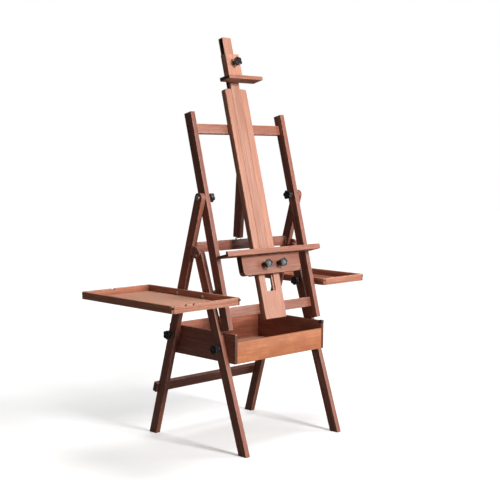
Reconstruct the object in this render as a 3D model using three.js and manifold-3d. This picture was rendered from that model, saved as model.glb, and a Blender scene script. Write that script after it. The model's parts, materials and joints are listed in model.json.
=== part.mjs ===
// A wooden H-frame artist's easel: two raked A-legs with a storage box, two side trays, a tilting
// frame with a slotted mast, a sliding bar with a top clamp, and a canvas ledge on a carriage.
// Millimetres, +Z up, the artist stands on the -Y side, left is -X.

import * as THREE from 'three';
import { mergeVertices } from 'three/addons/utils/BufferGeometryUtils.js';
import Module from 'manifold-3d';

const wasm = await Module();
wasm.setup();

// ---- Driving dimensions ---------------------------------------------------------------------

const GAP = 0.3;                 // clearance between pieces that touch
const SIDES = [['left', -1], ['right', 1]];
const rad = THREE.MathUtils.degToRad;

// Leg and stile stock, and how the layers stack up across the easel
const STOCK_T = 21;
const STOCK_D = 39;
const BASE_HALF = 287.5;         // half the width over the rear legs
const LAYER = 9.5;               // the spacer layer between the legs, the box and the trays
const FRONT_LEG_OUT = BASE_HALF - LAYER;
const STILE_OUT = BASE_HALF - STOCK_T - 1.5;
const STILE_IN = STILE_OUT - STOCK_T;

// Legs
const PIVOT = { y: -11.3, z: 967 };      // the tilt bolts, at the head of the rear legs
const HINGE = { y: -2, z: 745 };         // the front legs' hinge bolts
const REAR_LEAN = rad(15.2);
const FRONT_LEAN = rad(-18.68);
const STRETCHER = { z: 188, housing: 5, overhang: 12 };
const MID_RAIL = { y0: 33, y1: 54, z0: 751, z1: 790 };

// Centre strut
const STRUT_HINGE = { y: 57, z: 793 };
const STRUT_LEAN = rad(3.47);
const STRUT_TOP = 283;

// Storage box
const BOX = { out: 256.7, t: 12, y0: -189, y1: 185, z0: 341, z1: 455, frontZ1: 424, floorT: 6 };
const BOX_KNOB_Z = { rear: 420, front: 395 };

// Side trays
const RAIL_T = 12;
const RAIL_H = 28;
const TRAY_FLOOR_T = 4;
const TRAY_RABBET = 6;
const TRAYS = {
  left: { out: 628, y0: -246, y1: 274.5, z0: 578.5, frontNotches: [66, 104], backNotches: [150] },
  right: { out: 548, y0: -162, y1: 200, z0: 596, frontNotches: [], backNotches: [] },
};
const NOTCH = { width: 15, depth: 9 };
const SIDE_GROOVE = { width: 2.4, depth: 1.5, z: 12.5 };

// Tilting frame: x across, y backwards through the boards, z along the mast, from PIVOT
const LEAN = rad(15);
const STILE = { z0: -520, z1: 339 };
const MAST = { half: 60, t: 24, z0: -500, z1: 438, slotZ0: -390, slotHalf: 25 };
const TONGUE = { tip: 19, y0: -16, y1: -8 };
const BAR = { half: 24.7, z0: -283, z1: 654, grooveX: 18.2, grooveZ1: 648 };
const CROSSBARS = { top: 276.5, bottom: -452.5 };
const LEDGE = { half: 266, t: 11, z0: -246, depth: 62, lipT: 12, lipH: 21 };
const APRON = { half: 164, t: 25.8, h: 76, cornerR: 20, knobX: 42.5, knobZ: -286 };
const CARRIAGE = { half: 80, plateT: 12 };
const CLAMP = { half: 38, t: 15, z0: 474.3, z1: 580, cheekY: -10.5, knobZ: 542 };
const SHELF = { half: 95, y0: -94, y1: -38, z0: 459, z1: 474 };

// Star knobs and bolts
const KNOB = { lobes: 5, r: 16.2, wave: 2.8, hubR: 9.5, hubH: 14, headH: 16, bore: 18 };
const STUD_R = 4;
const HOLE_R = 4.5;
const BOLT_HEAD = { r: 9, h: 4 };
const NUT = { r: 7.5, h: 6.5 };

// ---- Materials ------------------------------------------------------------------------------

const FINISHES = {
  beech: { color: 0xb9805c, roughness: 0.55, metalness: 0 },
  plywood: { color: 0xc99b79, roughness: 0.6, metalness: 0 },
  plastic: { color: 0x1b1a1a, roughness: 0.45, metalness: 0 },
  steel: { color: 0x9a958c, roughness: 0.35, metalness: 0.9 },
};

function addMesh(parent, name, geometry, finish = 'beech') {
  const mesh = new THREE.Mesh(geometry, new THREE.MeshStandardMaterial(FINISHES[finish]));
  mesh.name = name;
  parent.add(mesh);
  return mesh;
}

// ---- Solids ---------------------------------------------------------------------------------

function toSolid(geometry) {
  const bare = geometry.clone();
  bare.deleteAttribute('normal');
  bare.deleteAttribute('uv');
  const merged = mergeVertices(bare, 1e-4);
  return new wasm.Manifold(new wasm.Mesh({
    numProp: 3,
    vertProperties: new Float32Array(merged.attributes.position.array),
    triVerts: new Uint32Array(merged.index.array),
  }));
}

function toGeometry(solid) {
  const mesh = solid.getMesh();
  const geometry = new THREE.BufferGeometry();
  geometry.setAttribute('position', new THREE.BufferAttribute(mesh.vertProperties, 3));
  geometry.setIndex(new THREE.BufferAttribute(mesh.triVerts, 1));
  geometry.computeVertexNormals();
  return geometry;
}

function cut(geometry, ...tools) {
  return toGeometry(tools.reduce((solid, tool) => solid.subtract(toSolid(tool)), toSolid(geometry)));
}

function join(first, ...others) {
  return toGeometry(others.reduce((solid, other) => solid.add(toSolid(other)), toSolid(first)));
}

function block(x0, x1, y0, y1, z0, z1) {
  const geometry = new THREE.BoxGeometry(x1 - x0, y1 - y0, z1 - z0);
  return geometry.translate((x0 + x1) / 2, (y0 + y1) / 2, (z0 + z1) / 2);
}

// Extrudes an outline drawn in (x, y) upwards from z0 to z1
function slabZ(outline, z0, z1, curveSegments = 4) {
  const options = { depth: z1 - z0, bevelEnabled: false, curveSegments };
  return new THREE.ExtrudeGeometry(outline, options).translate(0, 0, z0);
}

// Extrudes an outline drawn in (y, z) along +X from x0 to x1
function slabX(outline, x0, x1, curveSegments = 8) {
  const turn = new THREE.Matrix4().makeBasis(
    new THREE.Vector3(0, 1, 0), new THREE.Vector3(0, 0, 1), new THREE.Vector3(1, 0, 0));
  return slabZ(outline, x0, x1, curveSegments).applyMatrix4(turn);
}

// Extrudes an outline drawn in (x, z) along Y from y0 to y1
function slabY(outline, y0, y1, curveSegments = 6) {
  const turn = new THREE.Matrix4().makeBasis(
    new THREE.Vector3(1, 0, 0), new THREE.Vector3(0, 0, 1), new THREE.Vector3(0, -1, 0));
  return slabZ(outline, -y1, -y0, curveSegments).applyMatrix4(turn);
}

// A closed outline through [a, b] corners; a third number rounds that corner by that much
function outlineOf(corners) {
  const area = THREE.ShapeUtils.area(corners.map(([a, b]) => new THREE.Vector2(a, b)));
  if (area < 0) corners.reverse();
  const shape = new THREE.Shape();
  corners.forEach(([a, b, r = 0], i) => {
    const here = new THREE.Vector2(a, b);
    const before = new THREE.Vector2(...corners.at(i - 1).slice(0, 2));
    const after = new THREE.Vector2(...corners[(i + 1) % corners.length].slice(0, 2));
    const start = before.sub(here).setLength(r).add(here);
    const end = after.sub(here).setLength(r).add(here);
    if (i === 0) {
      shape.moveTo(start.x, start.y);
    } else {
      shape.lineTo(start.x, start.y);
    }
    if (r > 0) shape.quadraticCurveTo(a, b, end.x, end.y);
  });
  shape.closePath();
  return shape;
}

function bore(outline, a, b) {
  const hole = new THREE.Path();
  hole.absarc(a, b, HOLE_R, 0, 2 * Math.PI, true);
  outline.holes.push(hole);
  return outline;
}

function rodX(x0, x1, r, sides = 16) {
  const rod = new THREE.CylinderGeometry(r, r, x1 - x0, sides);
  return rod.rotateZ(Math.PI / 2).translate((x0 + x1) / 2, 0, 0);
}

function drillY(x, z, y0, y1) {
  const drill = new THREE.CylinderGeometry(HOLE_R, HOLE_R, y1 - y0, 16);
  return drill.translate(x, (y0 + y1) / 2, z);
}

// The x range of a piece that lies between two distances from the centre, on one side
function across(side, inner, outer) {
  return side > 0 ? [inner, outer] : [-outer, -inner];
}

// ---- Knobs and bolts ------------------------------------------------------------------------

// A star knob whose hub sits on z = 0 with its head above; its stud reaches down to -studLength
function starKnob(studLength) {
  const star = new THREE.Shape();
  const steps = KNOB.lobes * 6;
  for (let i = 0; i < steps; i += 1) {
    const angle = (2 * Math.PI * i) / steps;
    const r = KNOB.r + KNOB.wave * Math.cos(KNOB.lobes * angle);
    const point = [r * Math.cos(angle), r * Math.sin(angle)];
    if (i === 0) {
      star.moveTo(...point);
    } else {
      star.lineTo(...point);
    }
  }
  star.closePath();
  const head = slabZ(star, KNOB.hubH, KNOB.hubH + KNOB.headH);
  const hub = new THREE.CylinderGeometry(KNOB.hubR, KNOB.hubR, KNOB.hubH, 16);
  hub.rotateX(Math.PI / 2).translate(0, 0, KNOB.hubH / 2 + GAP);
  const knob = join(head, hub);
  if (studLength > 0) {
    const stud = new THREE.CylinderGeometry(STUD_R, STUD_R, studLength + 1, 12);
    return join(knob, stud.rotateX(Math.PI / 2).translate(0, 0, 1 - (studLength + 1) / 2));
  }
  const bored = new THREE.CylinderGeometry(HOLE_R, HOLE_R, KNOB.bore, 16);
  return cut(knob, bored.rotateX(Math.PI / 2).translate(0, 0, KNOB.bore / 2));
}

function addKnob(parent, name, seat, direction, studLength) {
  const knob = addMesh(parent, name, starKnob(studLength), 'plastic');
  knob.position.set(...seat);
  knob.quaternion.setFromUnitVectors(new THREE.Vector3(0, 0, 1), new THREE.Vector3(...direction));
}

// A bolt along X with its head outside the rear leg's layer, reaching in to `inner`
function addBolt(parent, name, side, at, inner, nutFace) {
  const faceX = BASE_HALF + GAP;
  const head = rodX(faceX, faceX + BOLT_HEAD.h, BOLT_HEAD.r);
  const shank = rodX(inner, faceX + 1, STUD_R, 12);
  let bolt = join(head, shank);
  if (nutFace) bolt = join(bolt, rodX(nutFace - NUT.h, nutFace, NUT.r, 6));
  if (side < 0) bolt.rotateZ(Math.PI);
  addMesh(parent, name, bolt, 'steel').position.set(0, at.y, at.z);
}

// The hex-headed bolt that holds a tray's rear end, driven through the rear leg into the rail
function addTrayBolt(base, hand, side, faceX, endX) {
  const z = TRAYS[hand].z0 + RAIL_H / 2;
  const bolt = join(rodX(faceX - NUT.h, faceX, NUT.r, 6), rodX(faceX - 1, endX, STUD_R, 12));
  if (side < 0) bolt.rotateZ(Math.PI);
  addMesh(base, `tray_bolt_rear_${hand}`, bolt, 'steel').position.set(0, rearLegY(z), z);
}

// ---- Legs and base rails --------------------------------------------------------------------

// The height-z point of a leg's centreline, from its pivot at the top
function legY(pivot, lean, z) {
  return pivot.y + (pivot.z - z) * Math.tan(lean);
}

const rearLegY = (z) => legY(PIVOT, REAR_LEAN, z);
const frontLegY = (z) => legY(HINGE, FRONT_LEAN, z);

// A leg seen from the side: round at its pivot, cut level at the floor. `notches` are
// [middle height, half length, depth] housings in its rear edge
function legOutline(pivot, lean, notches = []) {
  const half = STOCK_D / 2;
  const along = new THREE.Vector2(Math.sin(lean), -Math.cos(lean));
  const over = new THREE.Vector2(Math.cos(lean), Math.sin(lean));
  const at = (u, v) => [
    pivot.y + over.x * u + along.x * v,
    pivot.z + over.y * u + along.y * v,
  ];
  const foot = (u) => at(u, (pivot.z + over.y * u) / Math.cos(lean));
  const shape = new THREE.Shape();
  shape.moveTo(...foot(half));
  notches.forEach(([z, reach, depth]) => {
    const v = (pivot.z - z) / Math.cos(lean);
    shape.lineTo(...at(half, v + reach));
    shape.lineTo(...at(half - depth, v + reach));
    shape.lineTo(...at(half - depth, v - reach));
    shape.lineTo(...at(half, v - reach));
  });
  shape.lineTo(...at(half, 0));
  shape.absarc(pivot.y, pivot.z, half, lean, lean + Math.PI, false);
  shape.lineTo(...foot(-half));
  shape.closePath();
  return shape;
}

// The wedge that carries the front leg's hinge bolt, glued to the rear leg's front edge.
// Its corners are [forward of the edge, down the edge]
function hingeBlockOutline() {
  const edgeTop = { y: 19.7, z: 779.3 };
  const corners = [[GAP, 0], [GAP, 36], [27, 43, 6], [49, 14, 12], [20, -3, 4]];
  return outlineOf(corners.map(([u, v, r]) => [
    edgeTop.y - u * Math.cos(REAR_LEAN) + v * Math.sin(REAR_LEAN),
    edgeTop.z - u * Math.sin(REAR_LEAN) - v * Math.cos(REAR_LEAN),
    r,
  ]));
}

function addLegs(base) {
  const housing = [STRETCHER.z, STOCK_D / 2 + GAP, STRETCHER.housing];
  SIDES.forEach(([hand, side]) => {
    const rear = legOutline(PIVOT, REAR_LEAN, [housing]);
    const trayZ = TRAYS[hand].z0 + RAIL_H / 2;
    bore(rear, PIVOT.y, PIVOT.z);
    bore(rear, rearLegY(trayZ), trayZ);
    bore(rear, rearLegY(BOX_KNOB_Z.rear), BOX_KNOB_Z.rear);
    const rearX = across(side, BASE_HALF - STOCK_T, BASE_HALF);
    addMesh(base, `rear_leg_${hand}`, slabX(rear, ...rearX));

    const front = legOutline(HINGE, FRONT_LEAN);
    bore(front, HINGE.y, HINGE.z);
    bore(front, frontLegY(trayZ), trayZ);
    bore(front, frontLegY(BOX_KNOB_Z.front), BOX_KNOB_Z.front);
    const frontX = across(side, FRONT_LEG_OUT - STOCK_T, FRONT_LEG_OUT);
    addMesh(base, `front_leg_${hand}`, slabX(front, ...frontX));

    const wedge = bore(hingeBlockOutline(), HINGE.y, HINGE.z);
    const wedgeX = across(side, FRONT_LEG_OUT + GAP, BASE_HALF);
    addMesh(base, `hinge_block_${hand}`, slabX(wedge, ...wedgeX));
    const nutFace = FRONT_LEG_OUT - STOCK_T - GAP;
    addBolt(base, `hinge_bolt_${hand}`, side, HINGE, nutFace - NUT.h - 2, nutFace);
    addBolt(base, `tilt_bolt_${hand}`, side, PIVOT, STILE_IN - KNOB.bore + 3);
  });
}

function addBaseRails(base) {
  const railHalf = BASE_HALF - STOCK_T - GAP;
  addMesh(base, 'mid_rear_rail',
    block(-railHalf, railHalf, MID_RAIL.y0, MID_RAIL.y1, MID_RAIL.z0, MID_RAIL.z1));

  // The lower stretcher is housed in the rear edges of the rear legs and lies parallel to them
  const front = STOCK_D / 2 - STRETCHER.housing + GAP;
  const reach = BASE_HALF + STRETCHER.overhang;
  const bar = block(-reach, reach, front, front + STOCK_T, -STOCK_D / 2, STOCK_D / 2);
  const stretcher = addMesh(base, 'lower_stretcher', bar);
  stretcher.position.set(0, rearLegY(STRETCHER.z), STRETCHER.z);
  stretcher.rotation.x = REAR_LEAN;

  // The strut's hinge: a leaf on the back of the middle rail under a barrel
  const leafT = 2;
  const leafHalf = 14;
  const leaf = block(-leafHalf, leafHalf, MID_RAIL.y1 + GAP, MID_RAIL.y1 + GAP + leafT,
    MID_RAIL.z1 - 30, STRUT_HINGE.z);
  const barrel = rodX(-leafHalf, leafHalf, 3, 12).translate(0, STRUT_HINGE.y, STRUT_HINGE.z);
  addMesh(base, 'strut_hinge', join(leaf, barrel), 'steel');

  const strut = block(-STOCK_T / 2, STOCK_T / 2, -STOCK_D / 2 + 0.4, STOCK_D / 2 + 0.4, 4, STRUT_TOP);
  const centreStrut = addMesh(base, 'centre_strut', strut);
  centreStrut.position.set(0, STRUT_HINGE.y, STRUT_HINGE.z);
  centreStrut.rotation.x = STRUT_LEAN;
}

// ---- Storage box ----------------------------------------------------------------------------

function addStorageBox(base) {
  const inner = BOX.out - BOX.t;
  const between = inner - GAP;
  SIDES.forEach(([hand, side]) => {
    const panel = outlineOf([
      [BOX.y0, BOX.z0], [BOX.y1, BOX.z0], [BOX.y1, BOX.z1, 4], [BOX.y0, BOX.z1, 4],
    ]);
    bore(panel, rearLegY(BOX_KNOB_Z.rear), BOX_KNOB_Z.rear);
    bore(panel, frontLegY(BOX_KNOB_Z.front), BOX_KNOB_Z.front);
    addMesh(base, `box_side_${hand}`, slabX(panel, ...across(side, inner, BOX.out)));

    const spacer = outlineOf([[-18, -24, 3], [18, -24, 3], [18, 24, 3], [-18, 24, 3]]);
    bore(spacer, 0, 0);
    const spacerX = across(side, BOX.out + GAP, BASE_HALF - STOCK_T - GAP);
    const packer = addMesh(base, `box_spacer_${hand}`, slabX(spacer, ...spacerX));
    packer.position.set(0, rearLegY(BOX_KNOB_Z.rear), BOX_KNOB_Z.rear);
    packer.rotation.x = REAR_LEAN;
  });
  addMesh(base, 'box_front', block(-between, between, BOX.y0, BOX.y0 + BOX.t, BOX.z0, BOX.frontZ1));
  addMesh(base, 'box_back', block(-between, between, BOX.y1 - BOX.t, BOX.y1, BOX.z0, BOX.z1));
  const floorY0 = BOX.y0 + BOX.t + GAP;
  const floorY1 = BOX.y1 - BOX.t - GAP;
  addMesh(base, 'box_floor',
    block(-between, between, floorY0, floorY1, BOX.z0, BOX.z0 + BOX.floorT), 'plywood');
}

// ---- Side trays -----------------------------------------------------------------------------

function addTray(base, hand, side) {
  const { out, y0, y1, z0, frontNotches, backNotches } = TRAYS[hand];
  const z1 = z0 + RAIL_H;
  const inner = BASE_HALF + GAP;
  const floorX = across(side, inner + RAIL_T - TRAY_RABBET + GAP, out - RAIL_T + TRAY_RABBET - GAP);
  const floorY = [y0 + RAIL_T - TRAY_RABBET + GAP, y1 - RAIL_T + TRAY_RABBET - GAP];
  const floor = block(...floorX, ...floorY, z0, z0 + TRAY_FLOOR_T);
  addMesh(base, `${hand}_tray_floor`, floor, 'plywood');
  // The rebate under the rails' inner edges that the floor fits in
  const rebate = block(floorX[0] - GAP, floorX[1] + GAP, floorY[0] - GAP, floorY[1] + GAP,
    z0 - 1, z0 + TRAY_FLOOR_T + GAP);

  const rounding = 9;
  const sideRail = (near, far) => outlineOf([
    [side * near, y0], [side * far, y0, rounding], [side * far, y1, rounding], [side * near, y1],
  ]);
  addMesh(base, `${hand}_tray_outer_rail`, cut(slabZ(sideRail(out - RAIL_T, out), z0, z1), rebate));

  const boltZ = z0 + RAIL_H / 2;
  const drills = [rearLegY(boltZ), frontLegY(boltZ)].map((y) => (
    rodX(inner - 1, inner + RAIL_T + 1, HOLE_R).translate(0, y, boltZ)));
  if (side < 0) drills.forEach((drill) => drill.scale(-1, 1, 1).index.array.reverse());
  const innerRail = slabZ(sideRail(inner + RAIL_T, inner), z0, z1);
  addMesh(base, `${hand}_tray_inner_rail`, cut(innerRail, rebate, ...drills));

  // The large tray's end rails carry notches for brushes, counted from the outer rail, and a groove
  // along the outside
  const endX = across(side, inner + RAIL_T + GAP, out - RAIL_T - GAP);
  const endRail = (runs, faceY, railY0, railY1) => {
    const notches = runs.map((run) => side * (out - run)).sort((a, b) => b - a);
    const crest = notches.flatMap((x) => [
      [x + NOTCH.width / 2, z1], [x, z1 - NOTCH.depth], [x - NOTCH.width / 2, z1],
    ]);
    const rail = outlineOf([[endX[0], z0], [endX[1], z0], [endX[1], z1], ...crest, [endX[0], z1]]);
    const groove = block(endX[0] - 1, endX[1] + 1, faceY - SIDE_GROOVE.depth,
      faceY + SIDE_GROOVE.depth, z0 + SIDE_GROOVE.z, z0 + SIDE_GROOVE.z + SIDE_GROOVE.width);
    const grooves = runs.length ? [groove] : [];
    return cut(slabY(rail, railY0, railY1), rebate, ...grooves);
  };
  addMesh(base, `${hand}_tray_front_rail`, endRail(frontNotches, y0, y0, y0 + RAIL_T));
  addMesh(base, `${hand}_tray_back_rail`, endRail(backNotches, y1, y1 - RAIL_T, y1));

  const spacer = bore(outlineOf([[-17, -11, 3], [17, -11, 3], [17, 11, 3], [-17, 11, 3]]), 0, 0);
  const spacerX = across(side, FRONT_LEG_OUT + GAP, BASE_HALF);
  const packer = addMesh(base, `tray_spacer_${hand}`, slabX(spacer, ...spacerX));
  packer.position.set(0, frontLegY(boltZ), boltZ);
}

function addBaseKnobs(base) {
  SIDES.forEach(([hand, side]) => {
    const outwards = [side, 0, 0];
    const inwards = [-side, 0, 0];
    const boxStudEnd = BOX.out - BOX.t + 2;
    addKnob(base, `box_knob_rear_${hand}`,
      [side * BASE_HALF, rearLegY(BOX_KNOB_Z.rear), BOX_KNOB_Z.rear],
      outwards, BASE_HALF - boxStudEnd);
    addKnob(base, `box_knob_front_${hand}`,
      [side * FRONT_LEG_OUT, frontLegY(BOX_KNOB_Z.front), BOX_KNOB_Z.front],
      outwards, FRONT_LEG_OUT - boxStudEnd);
    const trayZ = TRAYS[hand].z0 + RAIL_H / 2;
    const trayStudEnd = BASE_HALF + RAIL_T - 2;
    const rearFace = BASE_HALF - STOCK_T;
    const frontFace = FRONT_LEG_OUT - STOCK_T;
    addTrayBolt(base, hand, side, rearFace - GAP, trayStudEnd);
    addKnob(base, `tray_knob_front_${hand}`, [side * frontFace, frontLegY(trayZ), trayZ],
      inwards, trayStudEnd - frontFace);
  });
}

// ---- Tilting frame --------------------------------------------------------------------------

function addTiltingFrame(frame) {
  const half = STOCK_D / 2;
  SIDES.forEach(([hand, side]) => {
    const outline = outlineOf([
      [-half, STILE.z0], [half, STILE.z0], [half, STILE.z1], [-half, STILE.z1],
    ]);
    bore(outline, 0, 0);
    addMesh(frame, `stile_${hand}`, slabX(outline, ...across(side, STILE_IN, STILE_OUT)));
    addKnob(frame, `tilt_knob_${hand}`, [side * STILE_IN, 0, 0], [-side, 0, 0], 0);
  });
  const barHalf = STILE_IN - GAP;
  Object.entries(CROSSBARS).forEach(([place, z]) => {
    addMesh(frame, `${place}_crossbar`, block(-barHalf, barHalf, GAP, half, z - half, z + half));
  });

  // The mast: a broad board with a slot open at the top, a tongue along each slot wall
  const mast = slabY(outlineOf([
    [-MAST.half, MAST.z0, 8], [MAST.half, MAST.z0, 8], [MAST.half, MAST.z1, 11],
    [TONGUE.tip, MAST.z1], [TONGUE.tip, MAST.slotZ0], [-TONGUE.tip, MAST.slotZ0],
    [-TONGUE.tip, MAST.z1], [-MAST.half, MAST.z1, 11],
  ]), -MAST.t, 0);
  const slot = [-MAST.slotHalf, MAST.slotHalf];
  const past = 1;
  addMesh(frame, 'mast_board', cut(mast,
    block(...slot, -MAST.t - past, TONGUE.y0, MAST.slotZ0, MAST.z1 + past),
    block(...slot, TONGUE.y1, past, MAST.slotZ0, MAST.z1 + past)));
}

function addSlidingBar(frame) {
  const grooveY0 = TONGUE.y0 - 0.4;
  const grooveY1 = TONGUE.y1 + 0.4;
  const bar = slabY(outlineOf([
    [-BAR.half, BAR.z0], [BAR.half, BAR.z0], [BAR.half, BAR.z1, 5], [-BAR.half, BAR.z1, 5],
  ]), -MAST.t, 0);
  const grooves = [[-BAR.half - 1, -BAR.grooveX], [BAR.grooveX, BAR.half + 1]].map((x) => (
    block(...x, grooveY0, grooveY1, BAR.z0 - 1, BAR.grooveZ1)));
  addMesh(frame, 'sliding_bar', cut(bar, ...grooves));
}

// The top clamp: a block whose cheeks and tongues run in the bar's grooves, on a small shelf
function addTopClamp(frame) {
  const rear = -MAST.t - 0.5;
  const front = rear - CLAMP.t;
  const cheekX = BAR.half + 0.5;
  const tongueY = TONGUE.y0 + 0.4;
  const section = outlineOf([
    [-CLAMP.half, front, 3], [CLAMP.half, front, 3], [CLAMP.half, CLAMP.cheekY],
    [TONGUE.tip, CLAMP.cheekY], [TONGUE.tip, tongueY], [cheekX, tongueY], [cheekX, rear],
    [-cheekX, rear], [-cheekX, tongueY], [-TONGUE.tip, tongueY], [-TONGUE.tip, CLAMP.cheekY],
    [-CLAMP.half, CLAMP.cheekY],
  ]);
  const plate = slabZ(section, CLAMP.z0, CLAMP.z1);
  addMesh(frame, 'top_clamp_block', cut(plate, drillY(0, CLAMP.knobZ, front - 1, rear + 1)));
  addKnob(frame, 'top_clamp_knob', [0, front, CLAMP.knobZ], [0, -1, 0], CLAMP.t + 0.1);

  const { half, y0, y1, z0, z1 } = SHELF;
  const shelf = outlineOf([[-half, z0, 2], [half, z0, 2], [half, z1, 2], [-half, z1, 2]]);
  addMesh(frame, 'top_clamp_shelf', slabY(shelf, y0, y1));
}

// The canvas ledge: a board with a lip, an apron under it, and a carriage around the mast
function addLedge(frame) {
  const rear = -MAST.t - 0.6;
  const lipY0 = -MAST.t - LEDGE.depth;
  const lipY1 = lipY0 + LEDGE.lipT;
  const top = LEDGE.z0 + LEDGE.t;
  addMesh(frame, 'ledge_board', block(-LEDGE.half, LEDGE.half, lipY1 + GAP, rear, LEDGE.z0, top));
  const lip = outlineOf([
    [lipY0, LEDGE.z0, 2], [lipY1, LEDGE.z0], [lipY1, LEDGE.z0 + LEDGE.lipH, 3],
    [lipY0, LEDGE.z0 + LEDGE.lipH, 3],
  ]);
  addMesh(frame, 'ledge_lip', slabX(lip, -LEDGE.half, LEDGE.half, 3));

  const apronZ1 = LEDGE.z0 - GAP;
  const apronZ0 = apronZ1 - APRON.h;
  const front = rear - APRON.t;
  const apron = slabY(outlineOf([
    [-APRON.half, apronZ1], [-APRON.half, apronZ0, APRON.cornerR],
    [APRON.half, apronZ0, APRON.cornerR], [APRON.half, apronZ1],
  ]), front, rear);
  const drills = [-1, 1].map((side) => (
    drillY(side * APRON.knobX, APRON.knobZ, front - 1, rear + 1)));
  addMesh(frame, 'ledge_apron', cut(apron, ...drills));

  SIDES.forEach(([hand, side]) => {
    const spacerX = across(side, MAST.half + 0.5, CARRIAGE.half);
    addMesh(frame, `carriage_spacer_${hand}`,
      block(...spacerX, rear + GAP, 0.3, apronZ0, apronZ1));
    addKnob(frame, `ledge_knob_${hand}`, [side * APRON.knobX, front, APRON.knobZ],
      [0, -1, 0], APRON.t + 0.1);
  });
  addMesh(frame, 'carriage_back_plate',
    block(-CARRIAGE.half, CARRIAGE.half, 0.6, 0.6 + CARRIAGE.plateT, apronZ0, apronZ1));
}

// ---- The easel ------------------------------------------------------------------------------

const easel = new THREE.Group();
const tiltingFrame = new THREE.Group();
tiltingFrame.position.set(0, PIVOT.y, PIVOT.z);
tiltingFrame.rotation.x = -LEAN;
easel.add(tiltingFrame);

addLegs(easel);
addBaseRails(easel);
addStorageBox(easel);
SIDES.forEach(([hand, side]) => addTray(easel, hand, side));
addBaseKnobs(easel);
addTiltingFrame(tiltingFrame);
addSlidingBar(tiltingFrame);
addTopClamp(tiltingFrame);
addLedge(tiltingFrame);

// Stand it on the floor with the origin under the middle of its whole extent
easel.updateMatrixWorld(true);
const extent = new THREE.Box3().setFromObject(easel, true);
const middle = extent.getCenter(new THREE.Vector3());
easel.position.set(-middle.x, -middle.y, -extent.min.z);

export default easel;
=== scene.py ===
import json
import math

import bpy
from mathutils import Matrix, Vector


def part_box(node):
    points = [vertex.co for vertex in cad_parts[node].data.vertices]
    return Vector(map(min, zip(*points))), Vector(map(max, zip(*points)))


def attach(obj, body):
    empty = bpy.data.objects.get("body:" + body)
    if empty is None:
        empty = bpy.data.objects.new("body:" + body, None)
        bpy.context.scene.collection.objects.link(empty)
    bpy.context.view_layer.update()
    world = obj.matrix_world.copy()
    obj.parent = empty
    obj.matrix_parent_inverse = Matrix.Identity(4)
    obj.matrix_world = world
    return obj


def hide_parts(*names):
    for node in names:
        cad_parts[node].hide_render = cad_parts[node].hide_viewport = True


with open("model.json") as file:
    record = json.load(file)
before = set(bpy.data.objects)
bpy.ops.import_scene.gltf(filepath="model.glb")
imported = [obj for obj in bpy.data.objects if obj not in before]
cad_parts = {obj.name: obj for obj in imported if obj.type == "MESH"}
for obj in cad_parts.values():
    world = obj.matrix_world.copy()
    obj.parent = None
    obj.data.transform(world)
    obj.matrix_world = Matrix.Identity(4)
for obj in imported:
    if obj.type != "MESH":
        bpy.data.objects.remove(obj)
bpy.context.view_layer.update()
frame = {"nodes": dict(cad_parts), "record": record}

RECORD = frame["record"]
JOINTS = {joint["name"]: joint for joint in RECORD["behaviour"]["joints"]}
BODY_OF = {node: body for body, nodes in RECORD["behaviour"]["bodies"].items() for node in nodes}
HANDS = (("left", -1), ("right", 1))

# Directions of the leaning frame: up along the mast, and out of its back face
MAST_UP = Vector(JOINTS["bar_slide"]["axis"]).normalized()
MAST_BACK = Vector((0, MAST_UP.z, -MAST_UP.y))


# ---- Camera, light and floor ------------------------------------------------------------------

def set_camera():
    """A long lens at chest height, seeing the easel's front from its left."""
    azimuth = math.radians(45.73)
    tilt_down = math.radians(5.431)
    roll = math.radians(0.6)
    ahead = Vector((
        math.sin(azimuth) * math.cos(tilt_down),
        math.cos(azimuth) * math.cos(tilt_down),
        -math.sin(tilt_down),
    ))
    level = Vector((math.cos(azimuth), -math.sin(azimuth), 0))
    upright = level.cross(ahead)
    right = math.cos(roll) * level + math.sin(roll) * upright
    above = right.cross(ahead)
    lens = bpy.data.cameras.new("studio_camera")
    lens.sensor_width = 36
    lens.lens = 78.75
    lens.clip_end = 50
    camera = bpy.data.objects.new("studio_camera", lens)
    turn = Matrix((right, above, -ahead)).transposed()
    camera.matrix_world = Matrix.Translation((-3.1095, -3.0820, 1.1676)) @ turn.to_4x4()
    bpy.context.scene.collection.objects.link(camera)
    bpy.context.scene.camera = camera


def softbox(name, place, aim, size, power, tint=(1, 1, 1)):
    lamp = bpy.data.lights.new(name, "AREA")
    lamp.shape = "SQUARE"
    lamp.size = size
    lamp.energy = power
    lamp.color = tint
    box = bpy.data.objects.new(name, lamp)
    box.location = place
    box.rotation_euler = (Vector(aim) - Vector(place)).to_track_quat("-Z", "Y").to_euler()
    bpy.context.scene.collection.objects.link(box)


def set_lights():
    chest = (0, 0, 0.85)
    softbox("key_softbox", (0.30, -5.0, 3.1), chest, 1.3, 430, (1, 0.985, 0.97))
    softbox("top_softbox", (0.9, 0.2, 4.4), chest, 2.2, 115)
    softbox("sheen_softbox", (4.2, -3.9, 1.5), chest, 2.4, 120, (1, 0.97, 0.98))
    bpy.context.scene.view_settings.view_transform = "Standard"


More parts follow.
